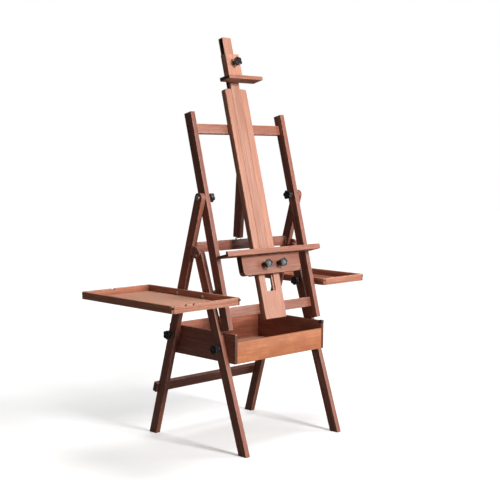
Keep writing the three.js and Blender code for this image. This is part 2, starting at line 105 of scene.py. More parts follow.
def set_surroundings():
    """White walls: bright to look at, dimmer as a source of light."""
    world = bpy.data.worlds.new("studio_walls")
    bpy.context.scene.world = world
    world.use_nodes = True
    tree = world.node_tree
    tree.nodes.clear()
    path = tree.nodes.new("ShaderNodeLightPath")
    seen = tree.nodes.new("ShaderNodeBackground")
    seen.inputs["Color"].default_value = (1, 1, 1, 1)
    seen.inputs["Strength"].default_value = 1.0
    glow = tree.nodes.new("ShaderNodeBackground")
    glow.inputs["Color"].default_value = (1, 0.98, 0.97, 1)
    glow.inputs["Strength"].default_value = 0.14
    mix = tree.nodes.new("ShaderNodeMixShader")
    out = tree.nodes.new("ShaderNodeOutputWorld")
    tree.links.new(path.outputs["Is Camera Ray"], mix.inputs["Fac"])
    tree.links.new(glow.outputs["Background"], mix.inputs[1])
    tree.links.new(seen.outputs["Background"], mix.inputs[2])
    tree.links.new(mix.outputs["Shader"], out.inputs["Surface"])


# ---- Shader building blocks -------------------------------------------------------------------

def add_node(tree, kind, inputs=None, **settings):
    made = tree.nodes.new(kind)
    for name, value in settings.items():
        setattr(made, name, value)
    for name, value in (inputs or {}).items():
        if isinstance(value, bpy.types.NodeSocket):
            tree.links.new(value, made.inputs[name])
        else:
            made.inputs[name].default_value = value
    return made


def calc(tree, operation, *values, clamp=False):
    inputs = dict(enumerate(values))
    return add_node(tree, "ShaderNodeMath", inputs, operation=operation, use_clamp=clamp).outputs[0]


def ease(tree, value, low, high, to_low=0.0, to_high=1.0):
    inputs = {"Value": value, "From Min": low, "From Max": high, "To Min": to_low, "To Max": to_high}
    eased = add_node(tree, "ShaderNodeMapRange", inputs, interpolation_type="SMOOTHSTEP")
    return eased.outputs["Result"]


def blend(tree, amount, first, second, mode="MIX"):
    mixed = add_node(tree, "ShaderNodeMix", data_type="RGBA", blend_type=mode)
    for socket, value in zip((mixed.inputs[0], mixed.inputs[6], mixed.inputs[7]),
                             (amount, first, second)):
        if isinstance(value, bpy.types.NodeSocket):
            tree.links.new(value, socket)
        else:
            socket.default_value = value
    return mixed.outputs[2]


def start_group(name, inputs, outputs):
    group = bpy.data.node_groups.new(name, "ShaderNodeTree")
    for socket, kind in inputs.items():
        group.interface.new_socket(socket, in_out="INPUT", socket_type=kind)
    for socket, kind in outputs.items():
        group.interface.new_socket(socket, in_out="OUTPUT", socket_type=kind)
    source = group.nodes.new("NodeGroupInput")
    sink = group.nodes.new("NodeGroupOutput")
    return group, source.outputs, sink.inputs


def timber_group():
    """The figure of sawn beech, worked out in the solid: growth rings about a pith beside the board,
    fibres and short flecks along it, and slow blotches where the stain took unevenly.
    Place is (along, across, through) the board, in metres."""
    group, given, result = start_group(
        "sawn_beech_figure",
        {"Place": "NodeSocketVector", "Seed": "NodeSocketFloat", "Ring Width": "NodeSocketFloat"},
        {"Rings": "NodeSocketFloat", "Fibres": "NodeSocketFloat", "Flecks": "NodeSocketFloat",
         "Blotches": "NodeSocketFloat"})
    links = group.links

    shift = add_node(group, "ShaderNodeVectorMath",
                     {0: (7.3, 3.1, 5.7), "Scale": given["Seed"]}, operation="SCALE")
    moved = add_node(group, "ShaderNodeVectorMath",
                     {0: given["Place"], 1: shift.outputs[0]}, operation="ADD").outputs[0]

    def stretched_noise(scale, detail, rough=0.5):
        stretch = add_node(group, "ShaderNodeVectorMath", {0: moved, 1: scale}, operation="MULTIPLY")
        noise = add_node(group, "ShaderNodeTexNoise", {
            "Vector": stretch.outputs[0], "Scale": 1.0, "Detail": detail, "Roughness": rough})
        return noise.outputs["Fac"]

    # Rings: distance from the pith, which lies outside the board and wavers along it
    place = add_node(group, "ShaderNodeSeparateXYZ", {0: given["Place"]})
    waver = stretched_noise((2.6, 9.0, 9.0), 2.0)
    fine_waver = stretched_noise((11.0, 60.0, 60.0), 2.0)
    pith_across = calc(group, "MULTIPLY_ADD", given["Seed"], 0.05, -0.025)
    pith_depth = calc(group, "MULTIPLY_ADD", given["Seed"], 0.045, 0.022)
    sideways = calc(group, "SUBTRACT", place.outputs["Y"], pith_across)
    inwards = calc(group, "ADD", place.outputs["Z"], pith_depth)
    squares = calc(group, "ADD", calc(group, "MULTIPLY", sideways, sideways),
                   calc(group, "MULTIPLY", inwards, inwards))
    radius = calc(group, "SQRT", squares)
    radius = calc(group, "MULTIPLY_ADD", waver, 0.034, radius)
    radius = calc(group, "MULTIPLY_ADD", fine_waver, 0.0022, radius)
    turn = calc(group, "FRACT", calc(group, "DIVIDE", radius, given["Ring Width"]))
    late_wood = calc(group, "POWER", turn, 2.2)
    fade = ease(group, turn, 0.90, 1.0, 1.0, 0.0)
    links.new(calc(group, "MULTIPLY", late_wood, fade), result["Rings"])

    fine = stretched_noise((14.0, 900.0, 900.0), 3.0, 0.6)
    coarse = stretched_noise((5.0, 170.0, 170.0), 2.0)
    links.new(calc(group, "ADD", calc(group, "MULTIPLY", fine, 0.55),
                   calc(group, "MULTIPLY", coarse, 0.45)), result["Fibres"])

    specks = stretched_noise((150.0, 1300.0, 700.0), 1.0)
    links.new(ease(group, specks, 0.62, 0.74), result["Flecks"])
    links.new(stretched_noise((9.0, 17.0, 17.0), 4.0, 0.6), result["Blotches"])
    return group


def worn_edge_group():
    """Where a board's finish changes at its edges. Wear is 1 on the arrises, fading unevenly over
    Width; End Grain is 1 on the two sawn ends. Place is measured from the middle of the board and
    Half Size is half its three sizes."""
    group, given, result = start_group(
        "worn_arrises",
        {"Place": "NodeSocketVector", "Half Size": "NodeSocketVector", "Width": "NodeSocketFloat",
         "Seed": "NodeSocketFloat"},
        {"Wear": "NodeSocketFloat", "End Grain": "NodeSocketFloat"})
    away = add_node(group, "ShaderNodeVectorMath", {0: given["Place"]}, operation="ABSOLUTE")
    depth = add_node(group, "ShaderNodeVectorMath",
                     {0: given["Half Size"], 1: away.outputs[0]}, operation="SUBTRACT")
    sides = add_node(group, "ShaderNodeSeparateXYZ", {0: depth.outputs[0]}).outputs
    group.links.new(ease(group, sides["X"], 0.0002, 0.0007, 1.0, 0.0), result["End Grain"])
    nearer = calc(group, "MINIMUM", sides["X"], sides["Y"])
    farther = calc(group, "MAXIMUM", sides["X"], sides["Y"])
    to_edge = calc(group, "MAXIMUM", nearer, calc(group, "MINIMUM", farther, sides["Z"]))
    noise = add_node(group, "ShaderNodeTexNoise", {
        "Vector": given["Place"], "W": given["Seed"], "Scale": 55.0, "Detail": 4.0,
        "Roughness": 0.65}, noise_dimensions="4D")
    ragged = calc(group, "MULTIPLY", ease(group, noise.outputs["Fac"], 0.38, 0.66, 0.15, 1.9),
                  given["Width"])
    share = calc(group, "DIVIDE", to_edge, ragged)
    group.links.new(ease(group, share, 0.25, 1.0, 1.0, 0.0), result["Wear"])
    return group


def handling_group():
    """Smudges and fine scuffs of a handled thing, on the piece's own coordinates in metres."""
    group, given, result = start_group(
        "handling_marks",
        {"Place": "NodeSocketVector", "Size": "NodeSocketFloat"},
        {"Smudge": "NodeSocketFloat", "Grit": "NodeSocketFloat"})
    smudge = add_node(group, "ShaderNodeTexNoise", {
        "Vector": given["Place"], "Scale": given["Size"], "Detail": 4.0, "Roughness": 0.6})
    group.links.new(smudge.outputs["Fac"], result["Smudge"])
    grit = add_node(group, "ShaderNodeTexNoise", {
        "Vector": given["Place"], "Scale": 2600.0, "Detail": 1.0})
    group.links.new(grit.outputs["Fac"], result["Grit"])
    return group


TIMBER = timber_group()
WORN_EDGES = worn_edge_group()
HANDLING = handling_group()


def start_material(name):
    material = bpy.data.materials.new(name)
    material.use_nodes = True
    tree = material.node_tree
    shader = tree.nodes["Principled BSDF"]
    return material, tree, shader


def attribute(tree, name, output="Vector"):
    return add_node(tree, "ShaderNodeAttribute", attribute_name=name).outputs[output]


def stained_wood(name, dark, light, arris, ring_width=0.006, ring_show=0.45, rough=0.42,
                 blotch_show=0.5, wear_width=0.0028):
    """Beech under a walnut-red stain and a satin varnish. The arris colour is paler where the stain
    has worn off; on the mast stock it is darker, as painted shade along its slots and grooves."""
    material, tree, shader = start_material(name)
    place = attribute(tree, "board_place")
    seed = attribute(tree, "board_seed", "Fac")
    figure = add_node(tree, "ShaderNodeGroup", node_tree=TIMBER)
    wear = add_node(tree, "ShaderNodeGroup", node_tree=WORN_EDGES)
    for group in (figure, wear):
        tree.links.new(place, group.inputs["Place"])
        tree.links.new(seed, group.inputs["Seed"])
    figure.inputs["Ring Width"].default_value = ring_width
    tree.links.new(attribute(tree, "board_half_size"), wear.inputs["Half Size"])
    wear.inputs["Width"].default_value = wear_width

    fibres = ease(tree, figure.outputs["Fibres"], 0.36, 0.64)
    colour = blend(tree, fibres, dark, light)
    shade = [channel * 0.55 for channel in dark[:3]] + [1]
    colour = blend(tree, calc(tree, "MULTIPLY", figure.outputs["Rings"], ring_show), colour, shade)
    stain = ease(tree, figure.outputs["Blotches"], 0.33, 0.68, 0.0, blotch_show)
    colour = blend(tree, stain, colour, dark)
    colour = blend(tree, calc(tree, "MULTIPLY", figure.outputs["Flecks"], 0.55), colour, shade)
    board_tone = calc(tree, "MULTIPLY_ADD", seed, 0.28, 0.86)
    tone = add_node(tree, "ShaderNodeCombineXYZ", {0: board_tone, 1: board_tone, 2: board_tone})
    colour = blend(tree, 1.0, colour, tone.outputs[0], "MULTIPLY")
    # The sawn ends are drawn near black: partly the stain that end grain soaks up, partly painted
    # shade.
    end_grain_stain_and_shade = calc(tree, "MULTIPLY", wear.outputs["End Grain"], 0.8)
    colour = blend(tree, end_grain_stain_and_shade, colour, [channel * 0.28 for channel in dark[:3]] + [1])
    worn = calc(tree, "MULTIPLY", wear.outputs["Wear"],
                calc(tree, "MULTIPLY_ADD", wear.outputs["End Grain"], -0.62, 0.62))
    tree.links.new(blend(tree, worn, colour, arris), shader.inputs["Base Color"])

    gloss = calc(tree, "MULTIPLY_ADD", figure.outputs["Rings"], 0.10, rough)
    gloss = calc(tree, "MULTIPLY_ADD", figure.outputs["Blotches"], 0.12, gloss)
    gloss = calc(tree, "MULTIPLY_ADD", wear.outputs["Wear"], 0.15, gloss)
    tree.links.new(gloss, shader.inputs["Roughness"])
    height = calc(tree, "MULTIPLY_ADD", figure.outputs["Flecks"], -0.8,
                  calc(tree, "MULTIPLY", figure.outputs["Fibres"], 0.5))
    bump = add_node(tree, "ShaderNodeBump", {"Height": height, "Strength": 0.35,
                                             "Distance": 0.0004})
    tree.links.new(bump.outputs["Normal"], shader.inputs["Normal"])
    return material


def moulded_plastic(name, colour):
    material, tree, shader = start_material(name)
    marks = add_node(tree, "ShaderNodeGroup", node_tree=HANDLING)
    tree.links.new(add_node(tree, "ShaderNodeTexCoord").outputs["Object"], marks.inputs["Place"])
    marks.inputs["Size"].default_value = 90.0
    smudge = ease(tree, marks.outputs["Smudge"], 0.35, 0.7)
    dusty = [channel * 1.9 + 0.006 for channel in colour[:3]] + [1]
    tree.links.new(blend(tree, calc(tree, "MULTIPLY", smudge, 0.5), colour, dusty),
                   shader.inputs["Base Color"])
    tree.links.new(calc(tree, "MULTIPLY_ADD", smudge, 0.16, 0.20), shader.inputs["Roughness"])
    bump = add_node(tree, "ShaderNodeBump", {
        "Height": marks.outputs["Grit"], "Strength": 0.25, "Distance": 0.00012})
    tree.links.new(bump.outputs["Normal"], shader.inputs["Normal"])
    return material


def plated_metal(name, colour, rough, metal=1.0):
    material, tree, shader = start_material(name)
    shader.inputs["Metallic"].default_value = metal
    marks = add_node(tree, "ShaderNodeGroup", node_tree=HANDLING)
    tree.links.new(add_node(tree, "ShaderNodeTexCoord").outputs["Object"], marks.inputs["Place"])
    marks.inputs["Size"].default_value = 220.0
    smudge = ease(tree, marks.outputs["Smudge"], 0.35, 0.65)
    dull = [channel * 0.62 for channel in colour[:3]] + [1]
    tree.links.new(blend(tree, smudge, colour, dull), shader.inputs["Base Color"])
    tree.links.new(calc(tree, "MULTIPLY_ADD", smudge, 0.22, rough), shader.inputs["Roughness"])
    bump = add_node(tree, "ShaderNodeBump", {
        "Height": marks.outputs["Grit"], "Strength": 0.2, "Distance": 0.0001})
    tree.links.new(bump.outputs["Normal"], shader.inputs["Normal"])
    return material


def floor_paint():
    """A pale matt floor round the easel that brightens into the white walls further out. It sends
    back less light than it shows, so the easel's shaded side stays deep."""
    material, tree, shader = start_material("pale_floor_paint")
    seen = add_node(tree, "ShaderNodeLightPath").outputs["Is Camera Ray"]
    place = add_node(tree, "ShaderNodeTexCoord").outputs["Object"]
    radius = add_node(tree, "ShaderNodeVectorMath", {0: place}, operation="LENGTH").outputs["Value"]
    far = ease(tree, radius, 0.35, 2.2, 0.25)
    tree.links.new(blend(tree, calc(tree, "MULTIPLY", seen, calc(tree, "SUBTRACT", 1.0, far)),
                         (0.20, 0.195, 0.19, 1), (0.93, 0.93, 0.93, 1)), shader.inputs["Base Color"])
    shader.inputs["Roughness"].default_value = 0.9
    shader.inputs["Specular IOR Level"].default_value = 0.1
    shader.inputs["Emission Color"].default_value = (1, 1, 1, 1)
    tree.links.new(calc(tree, "MULTIPLY", seen, far), shader.inputs["Emission Strength"])
    return material


WALNUT_RED = stained_wood(
    "walnut_red_leg_stock", (0.165, 0.050, 0.031, 1), (0.320, 0.115, 0.072, 1),
    (0.42, 0.20, 0.13, 1), ring_width=0.0065)
# Its arris colour is darker than its faces: painted shade along the mast's slots and grooves.
FACE_STOCK = stained_wood(
    "pale_red_mast_stock", (0.340, 0.145, 0.093, 1), (0.520, 0.258, 0.172, 1),
    (0.17, 0.065, 0.04, 1), ring_width=0.009, ring_show=0.35, blotch_show=0.45,
    wear_width=0.0022)
# A darker stock: the ledge parts' own deeper stain, and painted shade on the apron under the ledge.
LEDGE_STOCK_AND_SHADE = stained_wood(
    "cherry_brown_ledge_stock", (0.200, 0.066, 0.037, 1), (0.340, 0.135, 0.082, 1),
    (0.46, 0.21, 0.13, 1), ring_width=0.010, ring_show=0.35, blotch_show=0.7)
# Also drawn on the right tray's plywood floor, where it is painted shade.
BOX_STOCK_AND_TRAY_SHADE = stained_wood(
    "red_brown_box_stock", (0.210, 0.058, 0.032, 1), (0.360, 0.130, 0.072, 1),
    (0.46, 0.22, 0.13, 1), ring_width=0.011, ring_show=0.3)
TRAY_STOCK = stained_wood(
    "tray_rail_stock", (0.300, 0.100, 0.055, 1), (0.470, 0.200, 0.120, 1),
    (0.58, 0.30, 0.20, 1), ring_width=0.008, ring_show=0.3)
BOX_FACE = stained_wood(
    "amber_box_front_stock", (0.300, 0.095, 0.035, 1), (0.520, 0.205, 0.088, 1),
    (0.30, 0.12, 0.05, 1), ring_width=0.014, ring_show=0.10, blotch_show=0.95)
PLY_FACE = stained_wood(
    "stained_plywood_face", (0.380, 0.180, 0.115, 1), (0.500, 0.265, 0.180, 1),
    (0.55, 0.33, 0.22, 1), ring_width=0.016, ring_show=0.18, rough=0.5, blotch_show=0.4)
BLACK_PLASTIC = moulded_plastic("black_knob_plastic", (0.012, 0.012, 0.013, 1))
BLACK_STEEL = plated_metal("blacked_steel", (0.055, 0.053, 0.050, 1), 0.32)
ZINC_STEEL = plated_metal("zinc_plated_steel", (0.62, 0.60, 0.56, 1), 0.24)


# ---- Working with pieces ----------------------------------------------------------------------

def deselect_all():
    if bpy.context.object and bpy.context.object.mode != "OBJECT":
        bpy.ops.object.mode_set(mode="OBJECT")
    for other in bpy.context.selected_objects:
        other.select_set(False)


def work_on(piece):
    deselect_all()
    piece.select_set(True)
    bpy.context.view_layer.objects.active = piece


def select_in(piece, wanted, kind="FACE"):
    """In edit mode, selects only the faces, edges or vertices that `wanted` says yes to."""
    bpy.ops.mesh.select_mode(type=kind)
    bpy.ops.mesh.select_all(action="DESELECT")
    bpy.ops.object.mode_set(mode="OBJECT")
    mesh = piece.data
    elements = {"FACE": mesh.polygons, "EDGE": mesh.edges, "VERT": mesh.vertices}[kind]
    for element in elements:
        element.select = wanted(element)
    bpy.ops.object.mode_set(mode="EDIT")


def apply_modifier(piece, kind, **settings):
    work_on(piece)
    modifier = piece.modifiers.new(kind.lower(), kind)
    for name, value in settings.items():
        setattr(modifier, name, value)
    bpy.ops.object.modifier_apply(modifier=modifier.name)


def smooth(piece, degrees=35):
    work_on(piece)
    bpy.ops.object.shade_smooth_by_angle(angle=math.radians(degrees))


def settle(piece, body, material=None, stands_for=()):
    """Gives a finished piece its material and body, and hides the CAD nodes it stands for."""
    if material:
        piece.data.materials.clear()
        piece.data.materials.append(material)
    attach(piece, body)
    if stands_for:
        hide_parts(*stands_for)
    return piece


def new_object(name, mesh):
    piece = bpy.data.objects.new(name, mesh)
    bpy.context.scene.collection.objects.link(piece)
    return piece


def place_copy(pattern, name, at, facing, turn=0.0):
    """A copy of a pattern that was modelled standing on z = 0, set at a point and facing outwards."""
    mesh = pattern.data.copy()
    towards = Vector(facing).to_track_quat("Z", "Y").to_matrix().to_4x4()
    mesh.transform(Matrix.Translation(at) @ towards @ Matrix.Rotation(turn, 4, "Z"))
    mesh.name = name
    return new_object(name, mesh)


def middle(node):
    low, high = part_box(node)
    return (Vector(low) + Vector(high)) / 2


def reach(node, direction):
    """How far a CAD node goes in a direction."""
    return max(vertex.co.dot(direction) for vertex in frame["nodes"][node].data.vertices)


def on_face(node, direction, shift=(0, 0, 0)):
    """The point of a node's outermost face in a direction, straight out from its middle plus shift."""
    start = middle(node) + Vector(shift)
    return start + direction * (reach(node, direction) - start.dot(direction))


# ---- Sawn boards ------------------------------------------------------------------------------

def board_frame(mesh):
    """The board's own axes, sorted along, across and through, with its middle and half sizes.
    A board leans only about X, so the lean is the one with the tightest box in the YZ plane."""
    points = [vertex.co for vertex in mesh.vertices]

    def axes(lean):
        return (Vector((1, 0, 0)),
                Vector((0, math.cos(lean), math.sin(lean))),
                Vector((0, -math.sin(lean), math.cos(lean))))

    def spans(lean):
        return [(min(p.dot(axis) for p in points), max(p.dot(axis) for p in points))
                for axis in axes(lean)]

    def section(lean):
        _, depth, height = spans(lean)
        return (depth[1] - depth[0]) * (height[1] - height[0])

    steps = [math.radians(tenth / 10) for tenth in range(-220, 221)]
    lean = min(steps, key=lambda angle: (section(angle), abs(angle)))
    ranked = sorted(zip(axes(lean), spans(lean)), key=lambda pair: pair[1][0] - pair[1][1])
    return [(axis, (low + high) / 2, (high - low) / 2) for axis, (low, high) in ranked]


def mark_board(piece, seed):
    """Writes where each point lies in its board, for the grain and the worn arrises."""
    mesh = piece.data
    sides = board_frame(mesh)
    mesh.attributes.new("board_place", "FLOAT_VECTOR", "POINT")
    mesh.attributes.new("board_half_size", "FLOAT_VECTOR", "POINT")
    mesh.attributes.new("board_seed", "FLOAT", "POINT")
    # Adding an attribute moves the others, so they are looked up once all three are there
    place, half, number = (mesh.attributes[name].data for name in (
        "board_place", "board_half_size", "board_seed"))
    for i, vertex in enumerate(mesh.vertices):
        place[i].vector = [vertex.co.dot(axis) - centre for axis, centre, _ in sides]
        half[i].vector = [extent for _, _, extent in sides]
        number[i].value = seed


def sawn_board(node, material, arris=0.0014, seed=0.0):
    """A clean copy of a board with its arrises eased, standing for the plain one."""
    piece = new_object(node + "_timber", frame["nodes"][node].data.copy())
    work_on(piece)
    bpy.ops.object.mode_set(mode="EDIT")
    bpy.ops.mesh.select_all(action="SELECT")
    bpy.ops.mesh.remove_doubles(threshold=0.00002)
    bpy.ops.mesh.dissolve_limited(angle_limit=math.radians(1))
    bpy.ops.object.mode_set(mode="OBJECT")
    apply_modifier(piece, "BEVEL", width=arris, segments=3, limit_method="ANGLE",
                   angle_limit=math.radians(40), use_clamp_overlap=True)
    smooth(piece, 30)
    mark_board(piece, seed)
    return settle(piece, BODY_OF[node], material, (node,))


def seed_for(number):
    """A spread of seeds from 0 to 1, the same each time."""
    return (number * 0.6180339887) % 1.0


def make_boards():
    left_right = [hand for hand, _ in HANDS]
    groups = (
        (WALNUT_RED, "stained_beech", 0.0016,
         [f"{leg}_leg_{hand}" for leg in ("rear", "front") for hand in left_right]
         + [f"stile_{hand}" for hand in left_right]
         + [f"hinge_block_{hand}" for hand in left_right]
         + ["mid_rear_rail", "lower_stretcher", "centre_strut"]),
        (FACE_STOCK, "stained_beech", 0.0015,
         ["mast_board", "sliding_bar", "top_clamp_block"]),
        # The ledge apron is drawn in this darker stock partly as painted shade from the ledge above
        # it.
        (LEDGE_STOCK_AND_SHADE, "stained_beech", 0.0015,
         ["ledge_board", "ledge_lip", "ledge_apron", "carriage_back_plate", "top_crossbar",
          "bottom_crossbar", "top_clamp_shelf"]
         + [f"carriage_spacer_{hand}" for hand in left_right]),
        (BOX_STOCK_AND_TRAY_SHADE, "stained_beech", 0.0012,
         ["box_back", "box_side_left", "box_side_right"]
         + [f"box_spacer_{hand}" for hand in left_right]
         + [f"tray_spacer_{hand}" for hand in left_right]),
        # The right tray's floor is plywood like the left one; the darker box stock on it is painted
        # shade.
        (BOX_STOCK_AND_TRAY_SHADE, "plywood", 0.0005, ["right_tray_floor"]),
        (TRAY_STOCK, "stained_beech", 0.0008,
         [f"{hand}_tray_{rail}_rail" for hand in left_right
          for rail in ("outer", "inner", "front", "back")]),
        (BOX_FACE, "stained_beech", 0.0012, ["box_front"]),
        (PLY_FACE, "plywood", 0.0005,
         ["box_floor", "left_tray_floor"]),
    )
    number = 0
    for material, slot, arris, nodes in groups:
        for node in nodes:
            number += 1
            sawn_board(node, material, arris, seed_for(number))


# ---- Knobs, bolts and screws ------------------------------------------------------------------

KNOB_HEIGHT = 0.030
KNOB_HEAD = 0.016
KNOB_RADIUS = 0.019
KNOB_LOBES = 5
STUD_RADIUS = 0.004
THREAD_PITCH = 0.00125

# How deep the CAD bolts' heads are, from their outer face to their seat
DOMED_HEAD = 0.004
HEX_HEAD = 0.0065

# Screws, measured from the middles and the edges of the boards that they hold
CROSSBAR_SCREW_ROW = 0.010
MAST_SCREW_OUT = 0.040
BOX_SCREW_IN = 0.006
BOX_SCREW_LEVELS = (("low", 0.2), ("high", 0.62))
CARRIAGE_SCREW_ROW = 0.026
CARRIAGE_SCREW_OUT = 0.070
TRAY_SCREW_DROP = 0.0085
TRAY_SCREW_OUT = 0.0012
TRAY_SCREW_SINK = 0.0004


def star_knob_pattern():
    """A five-lobed knob standing on z = 0: a ribbed hub under a head with a dished top and a plug."""
    deselect_all()
    base = KNOB_HEIGHT - KNOB_HEAD
    spokes = 4 * KNOB_LOBES
    bpy.ops.mesh.primitive_cylinder_add(
        vertices=spokes, radius=KNOB_RADIUS, depth=KNOB_HEAD, end_fill_type="NGON",
        location=(0, 0, base + KNOB_HEAD / 2))
    head = bpy.context.object
    bpy.ops.object.transform_apply()
    bpy.ops.object.mode_set(mode="EDIT")

    def spoke(vertex):
        turn = math.atan2(vertex.co.y, vertex.co.x) / (2 * math.pi) * spokes
        return round(turn) % 4

    for which, scale in ((0, 0.985), (1, 0.92), (3, 0.92), (2, 0.74)):
        select_in(head, lambda vertex: spoke(vertex) == which, "VERT")
        bpy.ops.transform.resize(value=(scale, scale, 1), center_override=(0, 0, 0))
    # The head narrows towards its hub, and its top is dished around a raised plug
    select_in(head, lambda vertex: vertex.co.z < base + 0.001, "VERT")
    bpy.ops.transform.resize(value=(0.86, 0.86, 1), center_override=(0, 0, 0))
    select_in(head, lambda face: face.normal.z > 0.9)
    bpy.ops.mesh.inset(thickness=0.0018)
    bpy.ops.mesh.inset(thickness=0.0012)
    bpy.ops.transform.translate(value=(0, 0, 0.0004))
    bpy.ops.mesh.inset(thickness=0.0022)
    bpy.ops.transform.translate(value=(0, 0, -0.0028))
    bpy.ops.mesh.inset(thickness=0.0018)
    bpy.ops.mesh.inset(thickness=0.0006)
    bpy.ops.transform.translate(value=(0, 0, 0.0018))
    bpy.ops.mesh.inset(thickness=0.0008)
    bpy.ops.object.mode_set(mode="OBJECT")
    apply_modifier(head, "BEVEL", width=0.0011, segments=2, limit_method="ANGLE",
                   angle_limit=math.radians(50), use_clamp_overlap=True)
    apply_modifier(head, "SUBSURF", levels=2, render_levels=2)
    # The smoothing draws the lobes in, so the head is brought back to its full width and height
    points = [vertex.co for vertex in head.data.vertices]
    width = KNOB_RADIUS / max(math.hypot(point.x, point.y) for point in points)
    low, high = min(point.z for point in points), max(point.z for point in points)
    height = KNOB_HEAD / (high - low)
    bpy.ops.object.mode_set(mode="EDIT")
    bpy.ops.mesh.select_all(action="SELECT")
    bpy.ops.transform.resize(value=(width, width, height), center_override=(0, 0, high))
    bpy.ops.transform.translate(value=(0, 0, KNOB_HEIGHT - high))
    bpy.ops.object.mode_set(mode="OBJECT")

    deselect_all()
    bpy.ops.mesh.primitive_cone_add(
        vertices=20, radius1=0.0092, radius2=0.0088, depth=base + 0.0005,
        location=(0, 0, (base + 0.0005) / 2 + 0.0015))
    hub = bpy.context.object
    bpy.ops.object.transform_apply()
    bpy.ops.object.mode_set(mode="EDIT")
    select_in(hub, lambda face: face.normal.z < -0.9)
    bpy.ops.mesh.inset(thickness=0.002)
    select_in(hub, lambda face: abs(face.normal.z) < 0.5)
    bpy.ops.mesh.inset(thickness=0.0006, use_individual=True)
    bpy.ops.transform.resize(value=(0.93, 0.93, 1), center_override=(0, 0, 0))
    bpy.ops.object.mode_set(mode="OBJECT")
    apply_modifier(hub, "BEVEL", width=0.0004, segments=2, limit_method="ANGLE",
                   angle_limit=math.radians(35), use_clamp_overlap=True)
    work_on(hub)
    head.select_set(True)
    bpy.context.view_layer.objects.active = head
    bpy.ops.object.join()
    smooth(head, 40)
    return head


def stud_pattern(length):
    """A screw stud with its thread, hanging from z = 0 down to -length."""
    deselect_all()
    turns = int(length / THREAD_PITCH) + 1
    bpy.ops.mesh.primitive_cylinder_add(
        vertices=16, radius=STUD_RADIUS, depth=length, end_fill_type="NGON",
        location=(0, 0, -length / 2))
    stud = bpy.context.object
    bpy.ops.object.transform_apply()
    bpy.ops.object.mode_set(mode="EDIT")
    select_in(stud, lambda edge: abs(
        stud.data.vertices[edge.vertices[0]].co.z - stud.data.vertices[edge.vertices[1]].co.z) > 1e-4,
        "EDGE")
    bpy.ops.mesh.subdivide(number_cuts=turns * 2 - 1)
    step = length / (turns * 2)

    def in_root(vertex):
        ring = round(-vertex.co.z / step)
        return ring % 2 == 1 or vertex.co.z < -length + step / 2

    select_in(stud, in_root, "VERT")
    bpy.ops.transform.resize(value=(0.86, 0.86, 1), center_override=(0, 0, 0))
    bpy.ops.object.mode_set(mode="OBJECT")
    smooth(stud, 80)
    return stud


def add_stud(name, body, seat, facing, length):
    """A threaded stud that runs back from its seat, the other way from facing."""
    pattern = stud_pattern(length)
    stud = place_copy(pattern, name, seat, facing)
    bpy.data.objects.remove(pattern)
    settle(stud, body, ZINC_STEEL)


def make_knobs():
    pattern = star_knob_pattern()
    washer = washer_pattern(0.0094, 0.0013)
    for number, joint in enumerate(j for j in JOINTS.values() if "knob" in j["name"]):
        node = joint["child"]
        facing = Vector(joint["axis"]).normalized()
        centre = Vector(joint["pos_m"])
        top = reach(node, facing) - centre.dot(facing)
        seat = centre + facing * (top - KNOB_HEIGHT)
        knob = place_copy(pattern, node + "_star", seat, facing, number * 0.7)
        knob.data.materials.clear()
        knob.data.materials.append(BLACK_PLASTIC)
        collar = place_copy(washer, node + "_washer", seat + facing * 0.00015, facing)
        settle(collar, BODY_OF[node], ZINC_STEEL)
        length = reach(node, facing) + reach(node, -facing) - KNOB_HEIGHT
        if length > 0.002:
            add_stud(node + "_stud", BODY_OF[node], seat, facing, length)
        settle(knob, BODY_OF[node], None, (node,))
    bpy.data.objects.remove(pattern)
    bpy.data.objects.remove(washer)


def bolt_head_pattern(radius, height, socket=0.0032):
    """A low domed bolt head on z = 0 with a six-sided socket."""
    deselect_all()
    bpy.ops.mesh.primitive_cylinder_add(
        vertices=24, radius=radius, depth=height, end_fill_type="NGON", location=(0, 0, height / 2))
    head = bpy.context.object
    bpy.ops.object.transform_apply()
    bpy.ops.object.mode_set(mode="EDIT")
    select_in(head, lambda face: face.normal.z > 0.9)
    bpy.ops.mesh.inset(thickness=radius * 0.18)
    bpy.ops.transform.translate(value=(0, 0, height * 0.16))
    bpy.ops.mesh.inset(thickness=radius * 0.25)
    bpy.ops.transform.translate(value=(0, 0, height * 0.06))
    bpy.ops.object.mode_set(mode="OBJECT")
    apply_modifier(head, "BEVEL", width=height * 0.14, segments=3, limit_method="ANGLE",
                   angle_limit=math.radians(40))
    deselect_all()
    bpy.ops.mesh.primitive_cylinder_add(
        vertices=6, radius=socket, depth=height, location=(0, 0, height * 1.15))
    cutter = bpy.context.object
    bpy.ops.object.transform_apply()
    apply_modifier(head, "BOOLEAN", object=cutter, operation="DIFFERENCE")
    bpy.data.objects.remove(cutter)
    smooth(head, 35)
    return head


def hex_nut_pattern(radius, height):
    deselect_all()
    bpy.ops.mesh.primitive_cylinder_add(
        vertices=6, radius=radius, depth=height, end_fill_type="NGON", location=(0, 0, height / 2))
    nut = bpy.context.object
    bpy.ops.object.transform_apply()
    bpy.ops.object.mode_set(mode="EDIT")
    select_in(nut, lambda face: face.normal.z > 0.9)
    bpy.ops.mesh.inset(thickness=radius * 0.2)
    bpy.ops.transform.translate(value=(0, 0, height * 0.08))
    bpy.ops.object.mode_set(mode="OBJECT")
    apply_modifier(nut, "BEVEL", width=0.0006, segments=3, limit_method="ANGLE",
                   angle_limit=math.radians(25))
    smooth(nut, 35)
    return nut


